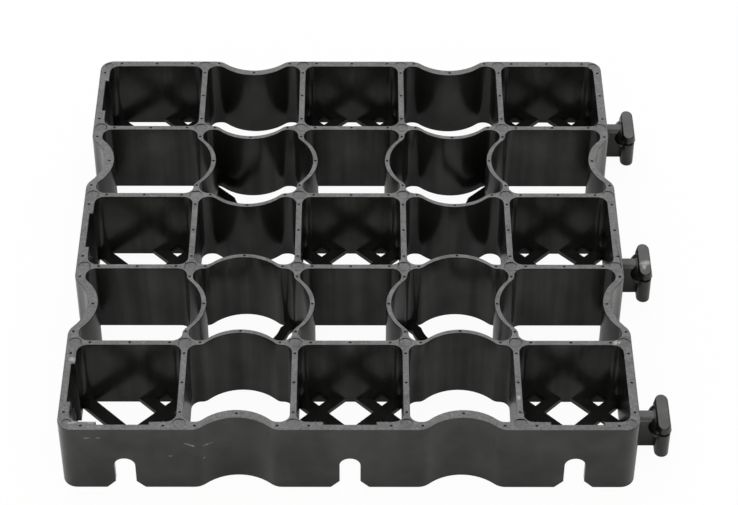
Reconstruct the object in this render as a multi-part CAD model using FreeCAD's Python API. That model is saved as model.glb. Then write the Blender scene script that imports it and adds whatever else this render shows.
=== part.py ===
import FreeCAD, Part
import math
import os

# Grass paver grid: one moulded tile of five by five cells.
# Millimetres. Origin at the middle of the grid on the ground plane, +Z up.
# The slotted edges face -X and -Y, the lugged edges face +X and +Y.

# Grid of cells
pitch = 65.0
cells = 5
height = 49.0

# Walls between the cells
straight_wall = 3.9
bowed_wall = 3.2
cell_radius = 6.0

# Bowed walls of the odd rows and columns, all bent towards the middle of the tile
bow_rise = 9.6
bow_radius = 29.0
bow_rounding = 6.0

# Outer edges
slotted_wall = 6.7
lugged_wall = 5.5
slotted_bay_wall = 6.4
lugged_bay_wall = 5.2
bay_rounding = 10.0
tile_radius = 8.8

# Open base: crossed bars and braces in the square cells, a bent tie in the round ones
base_thickness = 3.0
diagonal_width = 8.0
brace_width = 7.0
brace_distance = 27.2
tie_width = 6.0
tie_chord = 27.0
tie_radius = 26.5
tie_shift = 7.0

# Slots and recesses that take the lugs of the next tile
slot_width = 12.0
slot_height = 24.4
slot_chamfer = 4.9
recess_length = 30.0
recess_depth = 2.2

# Lugs: neck, round collar and round-ended head
neck_width = 9.2
neck_height = 22.0
collar_radius = 8.1
collar_length = 5.0
head_distance = 18.1
head_thickness = 8.0
head_width = 27.0
head_height = 24.4

UP = FreeCAD.Vector(0, 0, 1)
spare = 1.0
middle = (cells - 1) / 2
half_grid = cells / 2 * pitch
inner_face = half_grid - straight_wall / 2
low_edge = inner_face + slotted_wall
high_edge = inner_face + lugged_wall


def vec(x, y, z=0.0):
    return FreeCAD.Vector(x, y, z)


def centre_of(index):
    """Place of a cell's centre along X or Y, counted from the slotted edge."""
    return (index - middle) * pitch


def bends_up(line):
    """Wall lines before the middle of the tile bend to the high side, the others back."""
    return line < cells / 2


def box(x0, x1, y0, y1, z0, z1):
    return Part.makeBox(x1 - x0, y1 - y0, z1 - z0, vec(x0, y0, z0))


def turned(shape):
    """The shape mirrored in the tile's diagonal, so that X and Y trade places."""
    return shape.mirror(vec(0, 0, 0), vec(1, -1, 0))


def bow(base, crown, rounding):
    """Right half of a bow that leaves a straight side at v = base and peaks at v = crown.

    Gives the foot on the straight side, the middle of the rounding and its join with the
    main arc, each as (u, v).
    """
    way = 1.0 if crown > base else -1.0
    hub = vec(0, crown - way * bow_radius)
    rise = base + way * rounding - hub.y
    pivot = vec(math.sqrt((bow_radius + rounding) ** 2 - rise ** 2), base + way * rounding)
    down = vec(0, -way)
    lean = (hub - pivot).normalize()
    return pivot + down * rounding, pivot + (lean + down).normalize() * rounding, pivot + lean * rounding


def bowed_run(place, base, crown, rounding):
    """Edges of a whole bow along a side, in (u, v), centred at u = place."""
    points = bow(base, crown, rounding)
    left = [vec(place - p.x, p.y) for p in points]
    right = [vec(place + p.x, p.y) for p in reversed(points)]
    arcs = [Part.Arc(*left), Part.Arc(left[2], vec(place, crown), right[0]), Part.Arc(*right)]
    return left[0], [arc.toShape() for arc in arcs], right[2]


def side_edges(start, stop, base, bows):
    """One side of a loop from u = start to u = stop, straight but for its bows."""
    edges = []
    at = vec(start, base)
    for place, crown, rounding in bows:
        first, arcs, last = bowed_run(place, base, crown, rounding)
        edges.append(Part.LineSegment(at, first).toShape())
        edges += arcs
        at = last
    edges.append(Part.LineSegment(at, vec(stop, base)).toShape())
    return edges


def loop(sides, radius):
    """Closed wire with rounded corners. Sides are (distance, bows), from low Y round by high X."""
    edges = []
    for turn, (base, bows) in enumerate(sides):
        before = sides[turn - 1][0]
        after = sides[(turn + 1) % 4][0]
        side = side_edges(radius - before, after - radius, base, bows)
        hub = vec(after - radius, base - radius)
        slant = radius * math.sqrt(0.5)
        corner = Part.Arc(hub + vec(0, radius), hub + vec(slant, slant), hub + vec(radius, 0)).toShape()
        for edge in side + [corner]:
            flat = edge.mirror(vec(0, 0, 0), vec(0, 1, 0))
            flat.rotate(vec(0, 0, 0), UP, 90.0 * turn)
            edges.append(flat)
    return Part.Wire(edges)


def cell_loop(row, column):
    """Outline of a cell's open space."""
    base = (pitch - straight_wall) / 2
    out_crown = pitch / 2 + bow_rise - bowed_wall / 2
    in_crown = pitch / 2 - bow_rise - bowed_wall / 2
    sides = []
    lines = ((row, column, False), (column + 1, row, True), (row + 1, column, True), (column, row, False))
    feet = [0.0]
    for line, across, high in lines:
        bows = []
        if across % 2:
            crown = out_crown if bends_up(line) == high else in_crown
            feet.append(bow(base, crown, bow_rounding)[0].x)
            bows = [(0.0, crown, bow_rounding)]
        sides.append((base, bows))
    return loop(sides, min(cell_radius, base - max(feet) - 0.05))


def cell_space(row, column):
    """Open space of one cell, through the whole height."""
    solid = Part.Face(cell_loop(row, column)).extrude(vec(0, 0, height + 2 * spare))
    solid.translate(vec(centre_of(column), centre_of(row), -spare))
    return solid


def block():
    """Outer form of the tile with its bowed bays."""
    crown = half_grid - bow_rise - bowed_wall / 2
    places = [centre_of(k) for k in range(1, cells, 2)]
    low = (low_edge, [(p, crown + slotted_bay_wall, bay_rounding) for p in places])
    high = (high_edge, [(p, crown + lugged_bay_wall, bay_rounding) for p in places])
    return Part.Face(loop([low, high, high, low], tile_radius)).extrude(vec(0, 0, height))


def bar(start, stop, width, distance, angle):
    """Flat base bar at a distance from the cell's centre, turned about that centre."""
    solid = box(start, stop, distance - width / 2, distance + width / 2, 0, base_thickness)
    solid.rotate(vec(0, 0, 0), UP, angle)
    return solid


def square_base(row, column):
    """Crossed bars and corner braces of a square cell. Braces give way to slots."""
    reach = pitch / math.sqrt(2)
    solids = [bar(-reach, reach, diagonal_width, 0.0, angle) for angle in (45.0, -45.0)]
    for x_way, y_way, angle in ((1, 1, -45.0), (-1, 1, 45.0), (-1, -1, 135.0), (1, -1, -135.0)):
        beside_slot = (column == 0 and x_way < 0) or (row == 0 and y_way < 0)
        if not beside_slot:
            solids.append(bar(-reach, reach, brace_width, brace_distance, angle))
    limit = box(-pitch / 2, pitch / 2, -pitch / 2, pitch / 2, 0, base_thickness)
    base = solids[0].fuse(solids[1:]).common(limit)
    base.translate(vec(centre_of(column), centre_of(row)))
    return base


def tie_bend(start, way):
    """Ring sector of a tie over one chord along X, with its hub on the side that way gives."""
    hub = vec(start + tie_chord / 2, way * math.sqrt(tie_radius ** 2 - tie_chord ** 2 / 4))
    swing = math.degrees(math.asin(tie_chord / 2 / tie_radius))
    outer = Part.makeCylinder(tie_radius + tie_width / 2, base_thickness, hub, UP, 2 * swing)
    inner = Part.makeCylinder(tie_radius - tie_width / 2, base_thickness, hub, UP, 360.0)
    sector = outer.cut(inner)
    sector.rotate(hub, UP, -90.0 * way - swing)
    return sector


def round_base(row, column):
    """S-shaped tie of a round cell, from the tile's outer side to its middle along the diagonal."""
    reach = pitch / math.sqrt(2)
    start = tie_shift - tie_chord
    stop = tie_shift + tie_chord
    solids = [bar(-reach, start, tie_width, 0.0, 0.0), bar(stop, reach, tie_width, 0.0, 0.0)]
    solids += [tie_bend(start, 1.0), tie_bend(tie_shift, -1.0)]
    solids += [Part.makeCylinder(tie_width / 2, base_thickness, vec(u, 0)) for u in (start, stop)]
    tie = solids[0].fuse(solids[1:])
    tie.rotate(vec(0, 0, 0), UP, -45.0)
    if not bends_up(column):
        tie = tie.mirror(vec(0, 0, 0), vec(1, 0, 0))
    if bends_up(row):
        tie = tie.mirror(vec(0, 0, 0), vec(0, 1, 0))
    tie.translate(vec(centre_of(column), centre_of(row)))
    return tie


def arch(place, half, top, flare, y0, y1):
    """Upright round-headed prism from the ground, with an optional flare at its mouth."""
    shoulder = top - half
    points = [vec(place + half, y0, shoulder), vec(place + half, y0, flare)]
    points += [vec(place + half + flare, y0, 0), vec(place - half - flare, y0, 0)]
    points += [vec(place - half, y0, flare), vec(place - half, y0, shoulder)]
    kept = [p for k, p in enumerate(points) if k == 0 or (p - points[k - 1]).Length > 1e-6]
    crown = Part.Arc(points[-1], vec(place, y0, top), points[0]).toShape()
    face = Part.Face(Part.Wire(Part.makePolygon(kept).Edges + [crown]))
    return face.extrude(vec(0, y1 - y0, 0))


def slot(place):
    """Round-headed slot with a flared mouth through the low Y edge."""
    return arch(place, slot_width / 2, slot_height, slot_chamfer, -low_edge - spare, -inner_face + spare)


def recess(place):
    """Shallow bay in the inner face of the low Y edge that clears the head of a lug."""
    half = recess_length / 2
    return box(place - half, place + half, -inner_face - recess_depth, -inner_face + 2 * spare,
               -spare, height + spare)


def lug(place):
    """T-shaped lug on the high Y edge: neck, collar and head."""
    axis = high_edge + head_distance
    neck = arch(place, neck_width / 2, neck_height, 0.0, high_edge - lugged_wall / 2, axis)
    reach = head_thickness / 2 + collar_length
    collar_foot = vec(place, axis - reach, head_height - collar_radius)
    collar = Part.makeCylinder(collar_radius, reach, collar_foot, vec(0, 1, 0))
    radius = head_thickness / 2
    side = head_width / 2 - radius
    head = box(place - side, place + side, axis - radius, axis + radius, 0, head_height)
    ends = [Part.makeCylinder(radius, head_height, vec(place + x, axis)) for x in (-side, side)]
    return neck.fuse([collar, head] + ends).removeSplitter()


def tile():
    every = range(cells)
    even = range(0, cells, 2)
    odd = range(1, cells, 2)
    body = block().cut([cell_space(row, column) for row in every for column in every])
    bases = [square_base(row, column) for row in even for column in even]
    bases += [round_base(row, column) for row in odd for column in odd]
    lugs = [lug(centre_of(column)) for column in even]
    lugs += [turned(solid) for solid in lugs]
    cuts = [slot(centre_of(column)) for column in even]
    cuts += [recess(centre_of(column)) for column in even]
    cuts += [turned(solid) for solid in cuts]
    return body.fuse(bases + lugs).cut(cuts).removeSplitter()


def build():
    os.makedirs("parts", exist_ok=True)
    shape = tile()
    print("solids", len(shape.Solids), "valid", shape.isValid(), "cm3", round(shape.Volume / 1000, 1))
    shape.Solids[0].exportStep("parts/paver_grid.step")


build()
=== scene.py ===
import math

import bmesh
import bpy
from bpy.props import FloatProperty, FloatVectorProperty, IntProperty, PointerProperty, StringProperty
from bpy.types import Operator, Panel, PropertyGroup
from mathutils import Matrix, Vector


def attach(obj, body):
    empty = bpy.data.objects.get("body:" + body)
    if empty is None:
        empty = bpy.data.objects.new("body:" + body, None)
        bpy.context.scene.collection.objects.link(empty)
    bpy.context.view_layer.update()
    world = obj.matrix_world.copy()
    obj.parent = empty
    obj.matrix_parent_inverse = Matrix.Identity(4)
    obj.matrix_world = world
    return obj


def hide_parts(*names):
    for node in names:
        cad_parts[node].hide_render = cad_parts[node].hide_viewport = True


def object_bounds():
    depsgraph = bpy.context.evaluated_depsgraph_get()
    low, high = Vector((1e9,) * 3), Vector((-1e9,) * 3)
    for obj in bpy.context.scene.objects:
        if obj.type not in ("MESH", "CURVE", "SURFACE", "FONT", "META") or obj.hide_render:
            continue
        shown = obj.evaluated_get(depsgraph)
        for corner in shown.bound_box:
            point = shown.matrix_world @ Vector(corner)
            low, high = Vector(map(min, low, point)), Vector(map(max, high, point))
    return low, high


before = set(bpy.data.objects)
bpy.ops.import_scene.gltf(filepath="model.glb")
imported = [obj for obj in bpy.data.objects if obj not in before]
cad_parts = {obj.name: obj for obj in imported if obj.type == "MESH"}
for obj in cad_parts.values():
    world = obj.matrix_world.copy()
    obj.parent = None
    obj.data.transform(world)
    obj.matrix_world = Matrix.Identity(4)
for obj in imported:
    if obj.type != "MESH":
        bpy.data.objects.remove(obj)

bl_info = {
    "name": "Grass paver grid",
    "version": (1, 0, 0),
    "blender": (4, 5, 0),
    "location": "3D View > Sidebar > Paver",
    "description": "Dresses one moulded paver tile with rounded edges, moulding marks and a worn finish",
    "category": "Object",
}

MM = 0.001
WHITE = "#ffffff"

# The solid's box, the height of its wall tops, and the outer face of the two edges that its lugs stand on
CAD_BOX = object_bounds()
TOP = CAD_BOX[1][2]
LUG_REACH = 22.1 * MM
EDGE = CAD_BOX[1][0] - LUG_REACH

# Faces that meet at a larger angle than this keep a sharp edge
SHARP = math.radians(40.0)

# Tolerances: points in one plane, points picked by their place, faces without an area, points that are
# joined in the solid, points that are joined at the foot of a lug, what a cut leaves of a plain lug
PLANE = 0.01 * MM
PICK = 0.1 * MM
SLIVER = 0.001 * MM
WELD = 0.002 * MM
SEAM = 0.02 * MM
STUB = 0.04 * MM

# Middle of the wall tops: from the outer face of a slotted edge, and past the wall line of a lugged edge
SLOTTED_MIDDLE = 3.3 * MM
LUGGED_MIDDLE = 0.8 * MM

# Ejector marks: how far the outer ones lie inside of their wall lines, and the shares by which the corner
# ones are drawn to the middle and made smaller
SLOTTED_INSET = 0.3 * MM
LUGGED_INSET = 1.25 * MM
CORNER_PULL = 0.9965
CORNER_SIZE = 0.72

# Dimples: distance of the end ones from the middle of their wall, and share by which they flare
DIMPLE_SPAN = 23.5 * MM
DIMPLE_FLARE = 0.2

# Marks and dimples are less deep than this, and slots are less tall
MARK_LIMIT = 2.0 * MM
SLOT_LIMIT = 26.0 * MM

# Edge roundings of the cell rims and of the slots, as shares of the outer rim's
CELL_RIM = 0.8
SLOT_RIM = 0.5

# Lugs: their cells, counted from the middle one, and half the width of the cut that takes a plain lug off,
# as a share of the head's width
LUG_CELLS = (-2, 0, 2)
PLAIN_LUG_SHARE = 0.55

# Head of a lug: rounding of its ends as a share of half its thickness, draw of its ends as a share of the
# draw of its faces, height of its ledges, and rounding of its top and foot
ROUND_END = 0.995
END_DRAW = 0.3
LEDGE = 0.3 * MM
HEAD_ROUNDING = 0.7 * MM

# Collar and neck of a lug: the collar's top over the neck's, the neck's root inside of the wall, its gap
# over the ground, and its end short of the lug's tip
COLLAR_RISE = 0.6 * MM
NECK_ROOT = 2.5 * MM
NECK_LIFT = 0.1 * MM
NECK_END = 5.0 * MM

# Scrapes on the real tile: middle in millimetres, turn in degrees, half sizes in millimetres, strength
SCUFFS = (
    ((-150.5, -167.2, 42.1), (0.0, 3.0, 0.0), (3.6, 2.0, 0.8), 0.65),
    ((-143.9, -167.2, 42.2), (0.0, -2.0, 0.0), (2.6, 2.0, 0.7), 0.65),
    ((-92.0, -167.0, 36.4), (0.0, 24.0, 0.0), (8.0, 2.5, 1.1), 0.65),
    ((-82.0, -163.2, 32.6), (0.0, 12.0, 0.0), (6.5, 5.0, 1.3), 0.65),
    ((-103.2, -167.2, 26.9), (0.0, 0.0, 0.0), (2.4, 2.0, 0.8), 0.65),
    ((-84.2, -164.9, 22.9), (0.0, 0.0, 0.0), (1.6, 2.0, 1.2), 0.65),
    ((-135.4, -167.0, 16.0), (0.0, 80.0, 0.0), (4.5, 2.0, 1.2), 0.65),
    ((-162.6, -111.4, 49.0), (0.0, 0.0, -25.0), (4.2, 3.0, 2.0), 0.9),
    ((-158.5, -161.6, 49.0), (0.0, 0.0, 0.0), (7.5, 1.8, 2.0), 0.75),
    ((-147.5, -161.4, 49.0), (0.0, 0.0, 0.0), (7.0, 1.6, 2.0), 0.75),
    ((97.2, -141.6, 49.0), (0.0, 0.0, 0.0), (2.0, 3.4, 2.0), 1.0),
    ((157.2, -97.2, 49.0), (0.0, 0.0, 30.0), (4.6, 3.0, 2.0), 1.0),
    ((184.0, -3.6, 24.4), (0.0, 0.0, 15.0), (6.0, 3.6, 2.5), 1.0),
    ((183.0, -6.4, 24.4), (0.0, 0.0, 80.0), (4.5, 2.4, 2.0), 1.0),
)


class TileSizes(PropertyGroup):
    """Sizes of the tile's grid and of the small moulding marks."""

    pitch: FloatProperty(
        name="Pitch", description="Distance between two wall lines",
        default=65.0 * MM, unit="LENGTH")
    cells: IntProperty(
        name="Cells", description="Cells along each side",
        default=5)
    bow_rise: FloatProperty(
        name="Bow rise", description="How far a bowed wall leaves its line",
        default=9.6 * MM, unit="LENGTH")
    edge_radius: FloatProperty(
        name="Edge radius", description="Rounding of the outer rim",
        default=0.8 * MM, unit="LENGTH")
    dimple_radius: FloatProperty(
        name="Dimple radius", description="Radius of a dimple at the wall top",
        default=0.85 * MM, unit="LENGTH")
    dimple_depth: FloatProperty(
        name="Dimple depth", description="Depth of a dimple",
        default=0.7 * MM, unit="LENGTH")
    mark_radius: FloatProperty(
        name="Mark radius", description="Radius of the round ejector mark on a junction",
        default=3.9 * MM, unit="LENGTH")
    mark_depth: FloatProperty(
        name="Mark depth", description="Depth of an ejector mark",
        default=0.4 * MM, unit="LENGTH")


class LugSizes(PropertyGroup):
    """Sizes of the T-shaped lugs, measured from the tile's edge."""

    reach: FloatProperty(
        name="Reach", description="How far a lug stands out of the edge",
        default=LUG_REACH, unit="LENGTH")
    head_height: FloatProperty(
        name="Head height", description="Height of the head",
        default=24.4 * MM, unit="LENGTH")
    head_thickness: FloatProperty(
        name="Head thickness", description="Head across its parting line",
        default=9.2 * MM, unit="LENGTH")
    head_width: FloatProperty(
        name="Head width", description="Head along the edge of the tile",
        default=29.0 * MM, unit="LENGTH")
    parting_height: FloatProperty(
        name="Parting height", description="Mould parting line round the head",
        default=17.9 * MM, unit="LENGTH")
    parting_ledge: FloatProperty(
        name="Parting ledge", description="Step of the head under its parting line",
        default=0.4 * MM, unit="LENGTH")
    head_draw: FloatProperty(
        name="Head draw", description="How far the head narrows to its top, on each side",
        default=0.9 * MM, unit="LENGTH")
    groove_depth: FloatProperty(
        name="Groove depth", description="Depth of the groove over the parting line",
        default=1.3 * MM, unit="LENGTH")
    groove_height: FloatProperty(
        name="Groove height", description="Height of the groove over the parting line",
        default=2.2 * MM, unit="LENGTH")
    collar_height: FloatProperty(
        name="Collar height", description="Domed collar behind the head, from foot to top",
        default=13.0 * MM, unit="LENGTH")
    collar_width: FloatProperty(
        name="Collar width", description="Collar along the edge of the tile",
        default=24.0 * MM, unit="LENGTH")
    collar_length: FloatProperty(
        name="Collar length", description="Collar between the head and the tile",
        default=4.3 * MM, unit="LENGTH")
    collar_rounding: FloatProperty(
        name="Collar rounding", description="Rounding of the collar's shoulder",
        default=6.2 * MM, unit="LENGTH")
    neck_width: FloatProperty(
        name="Neck width", description="Neck along the edge",
        default=9.4 * MM, unit="LENGTH")
    neck_height: FloatProperty(
        name="Neck height", description="Top of the neck over the ground",
        default=22.3 * MM, unit="LENGTH")
    neck_rounding: FloatProperty(
        name="Neck rounding", description="Rounding of the neck's upper edges",
        default=3.0 * MM, unit="LENGTH")


class TileColours(PropertyGroup):
    """Colours of the plastic, as sRGB hex values."""

    plastic: StringProperty(
        name="Plastic", description="Recycled plastic as moulded", default="#1a1a17")
    mottle: StringProperty(
        name="Mottle", description="Darker clouds in the recycled plastic", default="#121210")
    # Paler wall-top colour: part wear, part painted sheen that stands in for the light the tops catch from
    # above
    worn_and_painted_sheen: StringProperty(
        name="Worn top", description="Rubbed wall tops", default="#707071")
    scuff: StringProperty(
        name="Scuff", description="Pale scrapes", default="#c2c2be")


class FinishSettings(PropertyGroup):
    """Patterns and gloss of the plastic."""

    cloud_size: FloatProperty(
        name="Clouds", description="Size of the clouds of darker stock",
        default=20.0 * MM, unit="LENGTH")
    # Patches and specks break up the paler wall-top colour, which is part wear and part painted sheen
    patch_size: FloatProperty(
        name="Patches", description="Size of the rubbed patches on the wall tops",
        default=7.0 * MM, unit="LENGTH")
    speck_size: FloatProperty(
        name="Specks", description="Size of the specks in the rubbed patches",
        default=1.8 * MM, unit="LENGTH")
    # Depths of the wall-top mask, which places the painted sheen and wear in the colour, and the duller
    # gloss
    rub_full: FloatProperty(
        name="Rub full", description="Depth under the wall top to which it is fully rubbed",
        default=0.2 * MM, unit="LENGTH")
    rub_end: FloatProperty(
        name="Rub end", description="Depth under the wall top at which the rubbing ends",
        default=0.9 * MM, unit="LENGTH")
    break_size: FloatProperty(
        name="Breaks", description="Size of the breaks in the scrapes",
        default=1.6 * MM, unit="LENGTH")
    drag_size: FloatProperty(
        name="Drag marks", description="Width of the upright drag marks on the walls",
        default=3.5 * MM, unit="LENGTH")
    band_size: FloatProperty(
        name="Bands", description="Width of the upright bands of shine on the inner walls",
        default=9.0 * MM, unit="LENGTH")
    band_reach: FloatProperty(
        name="Band reach", description="Distance from the middle to which walls have bands",
        default=142.0 * MM, unit="LENGTH")
    band_fade: FloatProperty(
        name="Band fade", description="Distance over which the bands fade out",
        default=8.0 * MM, unit="LENGTH")
    grain_size: FloatProperty(
        name="Grain", description="Size of the moulded grain",
        default=0.9 * MM, unit="LENGTH")
    relief_depth: FloatProperty(
        name="Relief depth", description="Depth of the grain and the drag marks",
        default=0.2 * MM, unit="LENGTH")
    wall_smooth: FloatProperty(
        name="Wall smooth", description="Roughness of the smoothest stretches of wall", default=0.17)
    wall_rough: FloatProperty(
        name="Wall rough", description="Roughness of the dullest stretches of wall", default=0.28)
    top_rough: FloatProperty(
        name="Top rough", description="Roughness of rubbed tops and scrapes", default=0.46)
    refraction: FloatProperty(
        name="Refraction", description="Refractive index of polyethylene", default=1.51)


class StageSettings(PropertyGroup):
    """Camera, lamps and floor."""

    focal_length: FloatProperty(
        name="Focal length", description="Lens in millimetres", default=117.98)
    sensor_width: FloatProperty(
        name="Sensor width", description="Width of the sensor in millimetres", default=36.0)
    azimuth: FloatProperty(
        name="Azimuth", description="Turn of the camera round the tile",
        default=math.radians(-0.278), subtype="ANGLE")
    elevation: FloatProperty(
        name="Elevation", description="Height of the camera over the horizon",
        default=math.radians(43.37), subtype="ANGLE")
    roll: FloatProperty(
        name="Roll", description="Turn of the picture",
        default=math.radians(0.249), subtype="ANGLE")
    distance: FloatProperty(
        name="Distance", description="From the camera to its target",
        default=1.5532, unit="LENGTH")
    target: FloatVectorProperty(
        name="Target", description="Point that the camera looks at",
        default=(0.0114, 0.03164, 0.0), unit="LENGTH")
    back_power: FloatProperty(
        name="Back power", description="Power of the softbox behind the tile", default=27.0)
    back_place: FloatVectorProperty(
        name="Back place", description="Place of the softbox behind the tile",
        default=(0.0, 1.5, 1.55), unit="LENGTH")
    back_size: FloatVectorProperty(
        name="Back size", description="Width and height of the softbox behind the tile",
        size=2, default=(2.6, 1.9), unit="LENGTH")
    front_power: FloatProperty(
        name="Front power", description="Power of the low softbox behind the camera", default=28.0)
    front_place: FloatVectorProperty(
        name="Front place", description="Place of the low softbox behind the camera",
        default=(0.0, -1.9, 1.15), unit="LENGTH")
    front_size: FloatVectorProperty(
        name="Front size", description="Width and height of the low softbox behind the camera",
        size=2, default=(4.0, 1.8), unit="LENGTH")
    top_power: FloatProperty(
        name="Top power", description="Power of the softbox over the tile", default=9.0)
    top_place: FloatVectorProperty(
        name="Top place", description="Place of the softbox over the tile",
        default=(-0.3, -0.1, 1.8), unit="LENGTH")
    top_size: FloatVectorProperty(
        name="Top size", description="Width and length of the softbox over the tile",
        size=2, default=(1.4, 1.4), unit="LENGTH")
    room_light: FloatProperty(
        name="Room light", description="Strength of the even light all round", default=0.35)
    floor_size: FloatProperty(
        name="Floor size", description="Width and length of the floor",
        default=12.0, unit="LENGTH")
    floor_drop: FloatProperty(
        name="Floor drop", description="Gap between the tile's base and the floor",
        default=0.4 * MM, unit="LENGTH")
    floor_colour: StringProperty(
        name="Floor colour", description="Paint of the floor, as an sRGB hex value", default="#f2f2f0")
    floor_white: FloatProperty(
        name="Floor white", description="Share of plain white that the camera sees on the floor",
        default=0.95)
    floor_mirrored: FloatProperty(
        name="Floor mirrored", description="Share of plain white that reflections see on the floor",
        default=0.12)


def linear(code):
    """sRGB hex value as a linear colour with full alpha."""
    channels = [int(code[k:k + 2], 16) / 255 for k in (1, 3, 5)]
    return [c / 12.92 if c <= 0.04045 else ((c + 0.055) / 1.055) ** 2.4 for c in channels] + [1.0]


def emptied(owner):
    """Turns on the nodes of a material or world and gives its node tree, cleared."""
    owner.use_nodes = True
    owner.node_tree.nodes.clear()
    return owner.node_tree


def add_node(tree, kind, inputs=None, **settings):
    """Adds a node, sets its options and fills its inputs with values or links."""
    node = tree.nodes.new(kind)
    for name, value in settings.items():
        setattr(node, name, value)
    for name, value in (inputs or {}).items():
        if isinstance(value, bpy.types.NodeSocket):
            tree.links.new(value, node.inputs[name])
        else:
            node.inputs[name].default_value = value
    return node


def maths(tree, operation, *values):
    """Result of a calculation with values or links."""
    return add_node(tree, "ShaderNodeMath", dict(enumerate(values)), operation=operation).outputs[0]


def noise(tree, vector, size, detail, roughness):
    """Noise pattern with features of this size."""
    inputs = {"Vector": vector, "Scale": 1.0 / size, "Detail": detail, "Roughness": roughness}
    return add_node(tree, "ShaderNodeTexNoise", inputs).outputs["Fac"]


def mapped(tree, value, low, high, to_low=0.0, to_high=1.0):
    """Moves the range from low to high onto another range, and clips what lies outside."""
    inputs = {"Value": value, "From Min": low, "From Max": high, "To Min": to_low, "To Max": to_high}
    return add_node(tree, "ShaderNodeMapRange", inputs).outputs["Result"]


def blend_colours(tree, share, first, second):
    """Mix of two colours, which are inputs 6 and 7 and output 2 of the node."""
    return add_node(tree, "ShaderNodeMix", {0: share, 6: first, 7: second}, data_type="RGBA").outputs[2]


def blend_values(tree, share, first, second):
    """Mix of two values, which are inputs 2 and 3 and output 0 of the node."""
    return add_node(tree, "ShaderNodeMix", {0: share, 2: first, 3: second}, data_type="FLOAT").outputs[0]


def axes_of(tree, vector):
    """The three parts of a vector."""
    return add_node(tree, "ShaderNodeSeparateXYZ", {"Vector": vector}).outputs


def top_mask(tree, coords, finish):
    """One on the wall tops and zero elsewhere, by where a face looks and how high it is."""
    # This mask places the paler top colour, part wear and part painted sheen standing in for light from
    # above
    upward = mapped(tree, axes_of(tree, coords["Normal"])["Z"], low=0.3, high=0.95)
    height = axes_of(tree, coords["Object"])["Z"]
    return maths(tree, "MULTIPLY", upward, mapped(tree, height, TOP - finish.rub_end, TOP - finish.rub_full))


def scuff_mask(tree, place, finish):
    """Soft spots at the places where the real tile is scraped, broken up by a fine noise."""
    total = 0.0
    for centre, turn, half, strength in SCUFFS:
        spot = add_node(tree, "ShaderNodeMapping", {
            "Vector": place,
            "Location": [MM * c for c in centre],
            "Rotation": [math.radians(t) for t in turn],
            "Scale": [MM * h for h in half],
        }, vector_type="TEXTURE").outputs["Vector"]
        fade = add_node(tree, "ShaderNodeTexGradient", {"Vector": spot}, gradient_type="SPHERICAL")
        total = maths(tree, "MAXIMUM", total, maths(tree, "MULTIPLY", fade.outputs["Fac"], strength))
    breaks = noise(tree, place, finish.break_size, detail=3.0, roughness=0.7)
    return mapped(tree, maths(tree, "ADD", total, breaks), low=0.75, high=1.55, to_high=0.75)


def wall_shine(tree, place, upright, clouds, finish):
    """Strength of the reflections: less in the clouds, and in upright bands on the walls inside the grid."""
    cloudy = mapped(tree, clouds, low=0.35, high=0.65, to_low=0.6, to_high=0.44)
    bands = noise(tree, upright, finish.band_size, detail=2.0, roughness=0.5)
    banded = mapped(tree, bands, low=0.35, high=0.65, to_low=0.76, to_high=1.26)
    apart = add_node(tree, "ShaderNodeVectorMath", {0: place}, operation="ABSOLUTE").outputs["Vector"]
    aside = axes_of(tree, apart)
    distance = maths(tree, "MAXIMUM", aside["X"], aside["Y"])
    end = finish.band_reach + finish.band_fade
    inside = mapped(tree, distance, low=finish.band_reach, high=end, to_low=1.0, to_high=0.0)
    return maths(tree, "MULTIPLY", cloudy, blend_values(tree, inside, 1.0, banded))


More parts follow.
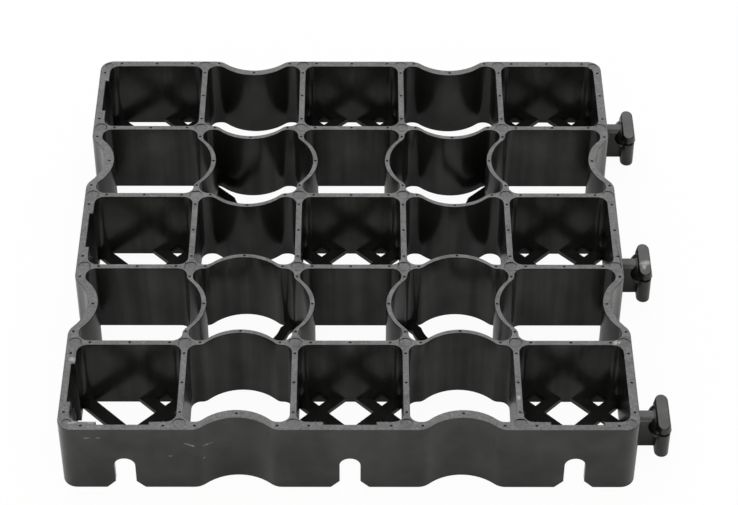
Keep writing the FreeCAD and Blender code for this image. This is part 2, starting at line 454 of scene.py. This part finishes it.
def recycled_plastic(colours, finish):
    """Recycled polyethylene, injection moulded.

    Near black and softly glossy, so that it mirrors the pale room in a blurred way, with clouds of darker
    stock, upright drag marks from the mould on its walls, and dull wall tops that are paler from wear and
    from a painted sheen, which stands in for the light they catch from above.
    """
    material = bpy.data.materials.new("recycled_polyethylene_moulded")
    tree = emptied(material)
    coords = add_node(tree, "ShaderNodeTexCoord").outputs
    place = coords["Object"]
    stretched = {"Vector": place, "Scale": (1.0, 1.0, 0.05)}
    upright = add_node(tree, "ShaderNodeMapping", stretched).outputs["Vector"]
    clouds = noise(tree, place, finish.cloud_size, detail=5.0, roughness=0.6)
    drags = noise(tree, upright, finish.drag_size, detail=4.0, roughness=0.6)
    tops = top_mask(tree, coords, finish)
    scuffs = scuff_mask(tree, place, finish)

    # Colour: clouded stock, wall tops paler in patches and fine specks from wear and from a painted sheen
    # for the light from above, pale scrapes
    cloudy = mapped(tree, clouds, low=0.35, high=0.7)
    stock = blend_colours(tree, cloudy, linear(colours.plastic), linear(colours.mottle))
    patches = noise(tree, place, finish.patch_size, detail=8.0, roughness=0.75)
    patchy = mapped(tree, patches, low=0.3, high=0.7, to_low=0.55)
    specks = noise(tree, place, finish.speck_size, detail=3.0, roughness=0.6)
    speckled = mapped(tree, specks, low=0.36, high=0.66, to_low=0.48)
    # Painted sheen: the wall tops are mixed towards the paler top colour, which stands in for the light they
    # catch from above as well as for wear
    rubbed_and_painted_sheen = maths(tree, "MULTIPLY", tops, maths(tree, "MULTIPLY", patchy, speckled))
    tops_with_painted_sheen = blend_colours(tree, rubbed_and_painted_sheen, stock, linear(colours.worn_and_painted_sheen))
    colour = blend_colours(tree, scuffs, tops_with_painted_sheen, linear(colours.scuff))

    # Gloss: walls with upright drag marks, duller tops and scrapes
    walls = mapped(tree, drags, low=0.3, high=0.7, to_low=finish.wall_smooth, to_high=finish.wall_rough)
    gloss = blend_values(tree, maths(tree, "MAXIMUM", tops, scuffs), walls, finish.top_rough)

    # Relief: moulded grain and shallow drag marks
    grain = noise(tree, place, finish.grain_size, detail=3.0, roughness=0.6)
    relief = maths(tree, "MULTIPLY_ADD", drags, 0.4, grain)
    bump = add_node(tree, "ShaderNodeBump", {
        "Height": relief,
        "Strength": 0.15,
        "Distance": finish.relief_depth,
    })

    shader = add_node(tree, "ShaderNodeBsdfPrincipled", {
        "Base Color": colour,
        "Roughness": gloss,
        "Specular IOR Level": wall_shine(tree, place, upright, clouds, finish),
        "Normal": bump.outputs["Normal"],
        "IOR": finish.refraction,
    })
    add_node(tree, "ShaderNodeOutputMaterial", {"Surface": shader.outputs["BSDF"]})
    return material


def pick(*objects):
    """Leaves edit mode and selects only these objects, the last one active."""
    if bpy.context.object and bpy.context.object.mode != "OBJECT":
        bpy.ops.object.mode_set(mode="OBJECT")
    bpy.ops.object.select_all(action="DESELECT")
    for obj in objects:
        obj.select_set(True)
        bpy.context.view_layer.objects.active = obj


def apply_modifier(obj, kind, **settings):
    """Adds a modifier with these settings and applies it."""
    pick(obj)
    modifier = obj.modifiers.new(kind.title(), kind)
    for name, value in settings.items():
        setattr(modifier, name, value)
    bpy.ops.object.modifier_apply(modifier=modifier.name)


def combine(obj, other, operation):
    """Adds the other object to this one, or cuts it away, and removes it."""
    apply_modifier(obj, "BOOLEAN", object=other, operation=operation, solver="EXACT")
    bpy.data.objects.remove(other)


def apply_place(obj):
    """Takes the object's place, turn and scale into its mesh."""
    pick(obj)
    bpy.ops.object.transform_apply(location=True, rotation=True, scale=True)


def block(name, low, high):
    """Plain box between two corners, as the start of a piece."""
    pick()
    bpy.ops.mesh.primitive_cube_add(size=1.0, location=[(a + b) / 2 for a, b in zip(low, high)])
    obj = bpy.context.object
    obj.name = name
    obj.scale = [b - a for a, b in zip(low, high)]
    apply_place(obj)
    return obj


def copied(obj, stands):
    """Copies a finished piece to all stands, removes it and gives the copies as one object."""
    copies = []
    for stand in stands:
        copy = obj.copy()
        copy.data = obj.data.copy()
        bpy.context.collection.objects.link(copy)
        copy.matrix_world = stand
        copies.append(copy)
    bpy.data.objects.remove(obj)
    pick(*copies)
    bpy.ops.object.join()
    whole = bpy.context.object
    apply_place(whole)
    return whole


def top_stands(places):
    """Stands on the wall tops."""
    return [Matrix.Translation((x, y, TOP)) for x, y in places]


def lug_stands(sizes):
    """Stands of the six lugs, for a piece that is modelled with the tile's edge at its origin."""
    stands = []
    for turn in (0.0, 90.0):
        for cell in LUG_CELLS:
            stand = Matrix.Translation((EDGE, cell * sizes.pitch, 0.0))
            stands.append(Matrix.Rotation(math.radians(turn), 4, "Z") @ stand)
    return stands


def line_at(sizes, index):
    """Place of a wall line, counted from the slotted edge."""
    return (index - sizes.cells / 2) * sizes.pitch


def wall_middle(sizes, index):
    """Middle of the wall top on a wall line: the outer walls are thicker to the outside."""
    if index == 0:
        return CAD_BOX[0][0] + SLOTTED_MIDDLE
    if index == sizes.cells:
        return line_at(sizes, index) + LUGGED_MIDDLE
    return line_at(sizes, index)


def junction_places(sizes):
    """Places of the ejector marks on the junctions: first all but the corners, then the corners."""
    lines = [line_at(sizes, k) for k in range(sizes.cells + 1)]
    lines[0] += SLOTTED_INSET
    lines[-1] -= LUGGED_INSET
    ends = (lines[0], lines[-1])
    corners = [(x, y) for x in ends for y in ends]
    others = [(x, y) for x in lines for y in lines if (x, y) not in corners]
    return others, [(x * CORNER_PULL, y * CORNER_PULL) for x, y in corners]


def dimple_places(sizes):
    """Three dimples on each wall: one near each end and one at the middle, but none there over a slot."""
    places = []
    for line in range(sizes.cells + 1):
        for span in range(sizes.cells):
            centre = (span + 0.5 - sizes.cells / 2) * sizes.pitch
            level = wall_middle(sizes, line)
            rise = 0.0
            if span % 2:
                rise = sizes.bow_rise if line < sizes.cells / 2 else -sizes.bow_rise
            spots = [(-DIMPLE_SPAN, 0.0), (DIMPLE_SPAN, 0.0)]
            if line or span % 2:
                spots.append((0.0, rise))
            for along, across in spots:
                places.append((centre + along, level + across))
                places.append((level + across, centre + along))
    return places


def edge_middle(edge):
    """Point halfway along an edge."""
    return (edge.verts[0].co + edge.verts[1].co) / 2


def is_sharp(edge):
    """True where two faces meet at a clear angle."""
    return len(edge.link_faces) == 2 and edge.calc_face_angle() > SHARP


def flat_at(edge, axis, level):
    """True if the edge lies in a plane across the axis at that level."""
    return all(abs(vert.co[axis] - level) < PLANE for vert in edge.verts)


def is_rim(edge):
    """True on the edge between a wall top and a wall side, not on the small marks."""
    if not (is_sharp(edge) and flat_at(edge, 2, TOP)):
        return False
    return min(vert.co.z for face in edge.link_faces for vert in face.verts) < TOP - MARK_LIMIT


def is_slot_edge(edge):
    """True on the outline of a slot in an outer face, above the ground."""
    if not is_sharp(edge) or not PICK <= edge_middle(edge).z <= SLOT_LIMIT:
        return False
    return any(flat_at(edge, axis, CAD_BOX[0][axis]) for axis in (0, 1))


def outer_loop(edges):
    """The edges that hang together with the outermost one."""
    chosen = set()
    fresh = [min(edges, key=lambda edge: edge_middle(edge).x)]
    allowed = set(edges)
    while fresh:
        edge = fresh.pop()
        chosen.add(edge)
        around = [near for vert in edge.verts for near in vert.link_edges]
        fresh += [near for near in around if near in allowed and near not in chosen]
    return chosen


def edit_unselected(obj, mode):
    """Goes into edit mode with nothing selected and gives the mesh that is edited."""
    pick(obj)
    bpy.ops.object.mode_set(mode="EDIT")
    bpy.ops.mesh.select_mode(type=mode)
    bpy.ops.mesh.select_all(action="DESELECT")
    return bmesh.from_edit_mesh(obj.data)


def select_verts(obj, test):
    """Goes into edit mode with only the points that pass the test selected."""
    mesh = edit_unselected(obj, "VERT")
    for vert in mesh.verts:
        if test(vert):
            vert.select_set(True)
    mesh.select_flush_mode()
    bmesh.update_edit_mesh(obj.data)


def round_edges(obj, test, width, segments, keep=None):
    """Rounds the edges that pass the test, or those of them that keep picks out."""
    mesh = edit_unselected(obj, "EDGE")
    chosen = [edge for edge in mesh.edges if test(edge)]
    if not chosen:
        raise RuntimeError("no edge to round")
    for edge in keep(chosen) if keep else chosen:
        edge.select_set(True)
    bmesh.update_edit_mesh(obj.data)
    bpy.ops.mesh.bevel(offset=width, segments=segments, affect="EDGES", clamp_overlap=False)
    bpy.ops.object.mode_set(mode="OBJECT")


def merge(obj, distance):
    """Joins points that lie closer than this and drops faces without an area."""
    pick(obj)
    bpy.ops.object.mode_set(mode="EDIT")
    bpy.ops.mesh.select_all(action="SELECT")
    bpy.ops.mesh.remove_doubles(threshold=distance)
    bpy.ops.mesh.dissolve_degenerate(threshold=SLIVER)
    bpy.ops.object.mode_set(mode="OBJECT")


def flatten(obj, axis):
    """Presses what a cut left just outside of a lugged edge back into the plane of its outer face."""
    select_verts(obj, lambda vert: 0.0 < vert.co[axis] - EDGE < PICK)
    factors = [0.0 if k == axis else 1.0 for k in range(3)]
    bpy.ops.transform.resize(value=factors, center_override=(EDGE, EDGE, 0.0))
    merge(obj, WELD)


def cut_all(obj, height):
    """Adds a level line all round the object."""
    pick(obj)
    bpy.ops.object.mode_set(mode="EDIT")
    bpy.ops.mesh.select_all(action="SELECT")
    bpy.ops.mesh.bisect(plane_co=(0.0, 0.0, height), plane_no=(0.0, 0.0, 1.0), threshold=SLIVER)
    bpy.ops.object.mode_set(mode="OBJECT")


class PAVER_OT_lugs(Operator):
    """Models one lug with its neck, domed collar and parted head, and copies it to all six places"""

    bl_idname = "paver.lugs"
    bl_label = "Lugs"

    def execute(self, context):
        lug = context.scene.paver_lug
        piece = self.head(lug)
        combine(piece, self.collar(lug), "UNION")
        combine(piece, self.neck(lug), "UNION")
        lugs = copied(piece, lug_stands(context.scene.paver_sizes))
        lugs.name = "paver_lugs"
        return {"FINISHED"}

    def head(self, lug):
        """Round-ended slab, stepped in under its parting line, grooved over it and drawn in to its top."""
        half = lug.head_thickness / 2
        middle = lug.reach - half
        side = lug.head_width / 2
        head = block("lug_head", (middle - half, -side, 0.0), (middle + half, side, lug.head_height))

        def is_upright(edge):
            return abs(edge.verts[0].co.z - edge.verts[1].co.z) > half

        round_edges(head, is_upright, ROUND_END * half, segments=12)
        parting = lug.parting_height
        groove_top = parting + lug.groove_height
        for level in (parting - LEDGE, parting, groove_top - LEDGE, groove_top):
            cut_all(head, level)
        top = lug.head_height
        self.draw_in(head, lug, top - PICK, top + PICK, lug.head_draw, END_DRAW * lug.head_draw)
        self.draw_in(head, lug, parting - PICK, groove_top - 2 * PICK, lug.groove_depth, lug.groove_depth)
        self.draw_in(head, lug, -PICK, parting - 2 * PICK, lug.parting_ledge, lug.parting_ledge)
        for level in (0.0, top):
            round_edges(head, lambda edge: is_sharp(edge) and flat_at(edge, 2, level),
                        HEAD_ROUNDING, segments=3)
        return head

    def draw_in(self, head, lug, low, high, across, along):
        """Draws in the head between two heights, by so much on each face and at each end."""
        half = lug.head_thickness / 2
        side = lug.head_width / 2
        select_verts(head, lambda vert: low < vert.co.z < high)
        bpy.ops.transform.resize(value=(1.0 - across / half, 1.0 - along / side, 1.0),
                                 center_override=(lug.reach - half, 0.0, 0.0))

    def collar(self, lug):
        """Domed shoulder between the neck and the head."""
        back = lug.reach - lug.head_thickness / 2
        front = lug.reach - lug.head_thickness - lug.collar_length
        height = lug.neck_height + COLLAR_RISE - lug.collar_height / 2
        pick()
        bpy.ops.mesh.primitive_cylinder_add(
            vertices=48, radius=lug.collar_height / 2, depth=back - front,
            location=((back + front) / 2, 0.0, height), rotation=(0.0, math.pi / 2, 0.0))
        collar = bpy.context.object
        apply_place(collar)
        round_edges(collar, lambda edge: flat_at(edge, 0, front), lug.collar_rounding, segments=8)
        collar.scale.y = lug.collar_width / lug.collar_height
        apply_place(collar)
        return collar

    def neck(self, lug):
        """Bar with rounded upper edges that joins the collar to the tile's wall."""
        side = lug.neck_width / 2
        low = (-NECK_ROOT, -side, NECK_LIFT)
        high = (lug.reach - NECK_END, side, lug.neck_height)
        neck = block("lug_neck", low, high)

        def is_upper(edge):
            is_long = abs(edge.verts[0].co.x - edge.verts[1].co.x) > side
            return is_long and flat_at(edge, 2, lug.neck_height)

        round_edges(neck, is_upper, lug.neck_rounding, segments=4)
        return neck


class PAVER_OT_tile(Operator):
    """Copies the tile's solid, gives it the modelled lugs, its moulding marks, rounded edges and finish"""

    bl_idname = "paver.tile"
    bl_label = "Moulded tile"

    def execute(self, context):
        sizes = context.scene.paver_sizes
        tile = self.free_copy(context)
        self.swap_lugs(tile, sizes, context.scene.paver_lug)
        self.sink_marks(tile, sizes)
        round_edges(tile, is_rim, sizes.edge_radius, segments=2, keep=outer_loop)
        round_edges(tile, is_rim, CELL_RIM * sizes.edge_radius, segments=2)
        round_edges(tile, is_slot_edge, SLOT_RIM * sizes.edge_radius, segments=2)
        pick(tile)
        bpy.ops.object.shade_smooth_by_angle(angle=SHARP)
        apply_modifier(tile, "WEIGHTED_NORMAL", keep_sharp=True)
        tile.data.materials.clear()
        tile.data.materials.append(recycled_plastic(context.scene.paver_colours, context.scene.paver_finish))
        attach(tile, "root")
        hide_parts("paver_grid")
        return {"FINISHED"}

    def free_copy(self, context):
        """Copy of the solid on its own, with its points joined and its imported normals cleared."""
        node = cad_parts["paver_grid"]
        tile = node.copy()
        tile.data = node.data.copy()
        tile.name = "paver_tile"
        context.collection.objects.link(tile)
        tile.parent = None
        for key in list(tile.keys()):
            del tile[key]
        merge(tile, WELD)
        bpy.ops.mesh.customdata_custom_splitnormals_clear()
        return tile

    def swap_lugs(self, tile, sizes, lug):
        """Cuts the solid's plain lugs off flush with the walls and joins the modelled ones on."""
        side = PLAIN_LUG_SHARE * lug.head_width
        plain = block("plain_lug", (STUB, -side, -MM), (lug.reach + MM, side, lug.head_height + MM))
        combine(tile, copied(plain, lug_stands(sizes)), "DIFFERENCE")
        flatten(tile, 0)
        flatten(tile, 1)
        combine(tile, bpy.data.objects["paver_lugs"], "UNION")
        merge(tile, SEAM)

    def sink_marks(self, tile, sizes):
        """Cuts the round ejector marks and the small dimples into the wall tops."""
        for share, places in zip((1.0, CORNER_SIZE), junction_places(sizes)):
            pick()
            bpy.ops.mesh.primitive_cylinder_add(
                vertices=40, radius=share * sizes.mark_radius, depth=2 * sizes.mark_depth)
            combine(tile, copied(bpy.context.object, top_stands(places)), "DIFFERENCE")
        pick()
        bpy.ops.mesh.primitive_cone_add(
            vertices=12, radius1=(1.0 - DIMPLE_FLARE) * sizes.dimple_radius,
            radius2=(1.0 + DIMPLE_FLARE) * sizes.dimple_radius, depth=2 * sizes.dimple_depth)
        combine(tile, copied(bpy.context.object, top_stands(dimple_places(sizes))), "DIFFERENCE")


def softbox(name, place, size, power):
    """Large lamp that faces the middle of the tile."""
    bpy.ops.object.light_add(type="AREA", location=place)
    lamp = bpy.context.object
    lamp.name = name
    lamp.data.shape = "RECTANGLE"
    lamp.data.size, lamp.data.size_y = size
    lamp.data.energy = power
    lamp.rotation_euler = (Vector() - Vector(place)).to_track_quat("-Z", "Y").to_euler()


def seen_share(tree, stage):
    """Share of plain white on the floor, for the camera and for rays that are mirrored or pass through."""
    path = add_node(tree, "ShaderNodeLightPath").outputs
    mirrored = maths(tree, "MAXIMUM", path["Is Glossy Ray"], path["Is Transmission Ray"])
    indirect = maths(tree, "MULTIPLY", mirrored, stage.floor_mirrored)
    direct = maths(tree, "MULTIPLY", path["Is Camera Ray"], stage.floor_white)
    return maths(tree, "MAXIMUM", direct, indirect)


class PAVER_OT_stage(Operator):
    """Sets the floor, the lamps, the even room light and the camera"""

    bl_idname = "paver.stage"
    bl_label = "Stage"

    def execute(self, context):
        stage = context.scene.paver_stage
        pick()
        bpy.ops.mesh.primitive_plane_add(size=stage.floor_size, location=(0.0, 0.0, -stage.floor_drop))
        floor = context.object
        floor.name = "pale_floor"
        floor.data.materials.append(self.floor_paint(stage))
        softbox("back_softbox", stage.back_place, stage.back_size, stage.back_power)
        softbox("front_softbox", stage.front_place, stage.front_size, stage.front_power)
        softbox("top_softbox", stage.top_place, stage.top_size, stage.top_power)
        self.room(context, stage)
        self.camera(context, stage)
        context.scene.view_settings.view_transform = "Standard"
        return {"FINISHED"}

    def floor_paint(self, stage):
        """Matt white paint. The camera sees it mostly as plain white, with the tile's shadow kept."""
        material = bpy.data.materials.new("white_floor_paint_matt")
        tree = emptied(material)
        paint = add_node(tree, "ShaderNodeBsdfDiffuse", {"Color": linear(stage.floor_colour)}).outputs[0]
        white = add_node(tree, "ShaderNodeEmission", {"Color": linear(WHITE), "Strength": 1.0}).outputs[0]
        mix = add_node(tree, "ShaderNodeMixShader", {0: seen_share(tree, stage), 1: paint, 2: white})
        add_node(tree, "ShaderNodeOutputMaterial", {"Surface": mix.outputs[0]})
        return material

    def room(self, context, stage):
        """Even light all round, white to the camera."""
        world = bpy.data.worlds.new("studio_room")
        context.scene.world = world
        tree = emptied(world)
        light, white = [
            add_node(tree, "ShaderNodeBackground", {"Color": linear(WHITE), "Strength": strength}).outputs[0]
            for strength in (stage.room_light, 1.0)]
        path = add_node(tree, "ShaderNodeLightPath").outputs
        mix = add_node(tree, "ShaderNodeMixShader", {0: path["Is Camera Ray"], 1: light, 2: white})
        add_node(tree, "ShaderNodeOutputWorld", {"Surface": mix.outputs[0]})

    def camera(self, context, stage):
        """Camera at the photograph's viewing angle."""
        a, e, r = stage.azimuth, stage.elevation, stage.roll
        back = Vector((math.sin(a) * math.cos(e), -math.cos(a) * math.cos(e), math.sin(e)))
        right = Vector((math.cos(a), math.sin(a), 0.0))
        up = back.cross(right)
        turned_right = math.cos(r) * right + math.sin(r) * up
        turned_up = math.cos(r) * up - math.sin(r) * right
        place = Vector(stage.target) + stage.distance * back
        bpy.ops.object.camera_add()
        camera = context.object
        camera.name = "photo_camera"
        camera.data.lens = stage.focal_length
        camera.data.sensor_width = stage.sensor_width
        axes = Matrix((turned_right, turned_up, back)).transposed()
        camera.matrix_world = Matrix.Translation(place) @ axes.to_4x4()
        context.scene.camera = camera


class PAVER_PT_panel(Panel):
    """Lists the sizes and looks of the tile and its stage, and the steps that make them"""

    bl_idname = "PAVER_PT_panel"
    bl_label = "Paver grid"
    bl_space_type = "VIEW_3D"
    bl_region_type = "UI"
    bl_category = "Paver"

    def draw(self, context):
        scene = context.scene
        groups = (scene.paver_sizes, scene.paver_lug, scene.paver_colours,
                  scene.paver_finish, scene.paver_stage)
        for group in groups:
            box = self.layout.box()
            for name in group.__annotations__:
                box.prop(group, name)
        for operator in (PAVER_OT_lugs, PAVER_OT_tile, PAVER_OT_stage):
            self.layout.operator(operator.bl_idname)


CLASSES = (TileSizes, LugSizes, TileColours, FinishSettings, StageSettings,
           PAVER_OT_lugs, PAVER_OT_tile, PAVER_OT_stage, PAVER_PT_panel)


def register():
    for cls in CLASSES:
        bpy.utils.register_class(cls)
    bpy.types.Scene.paver_sizes = PointerProperty(type=TileSizes)
    bpy.types.Scene.paver_lug = PointerProperty(type=LugSizes)
    bpy.types.Scene.paver_colours = PointerProperty(type=TileColours)
    bpy.types.Scene.paver_finish = PointerProperty(type=FinishSettings)
    bpy.types.Scene.paver_stage = PointerProperty(type=StageSettings)


def unregister():
    del bpy.types.Scene.paver_stage
    del bpy.types.Scene.paver_finish
    del bpy.types.Scene.paver_colours
    del bpy.types.Scene.paver_lug
    del bpy.types.Scene.paver_sizes
    for cls in reversed(CLASSES):
        bpy.utils.unregister_class(cls)


def main():
    register()
    bpy.ops.paver.lugs()
    bpy.ops.paver.tile()
    bpy.ops.paver.stage()


if __name__ == "__main__":
    main()
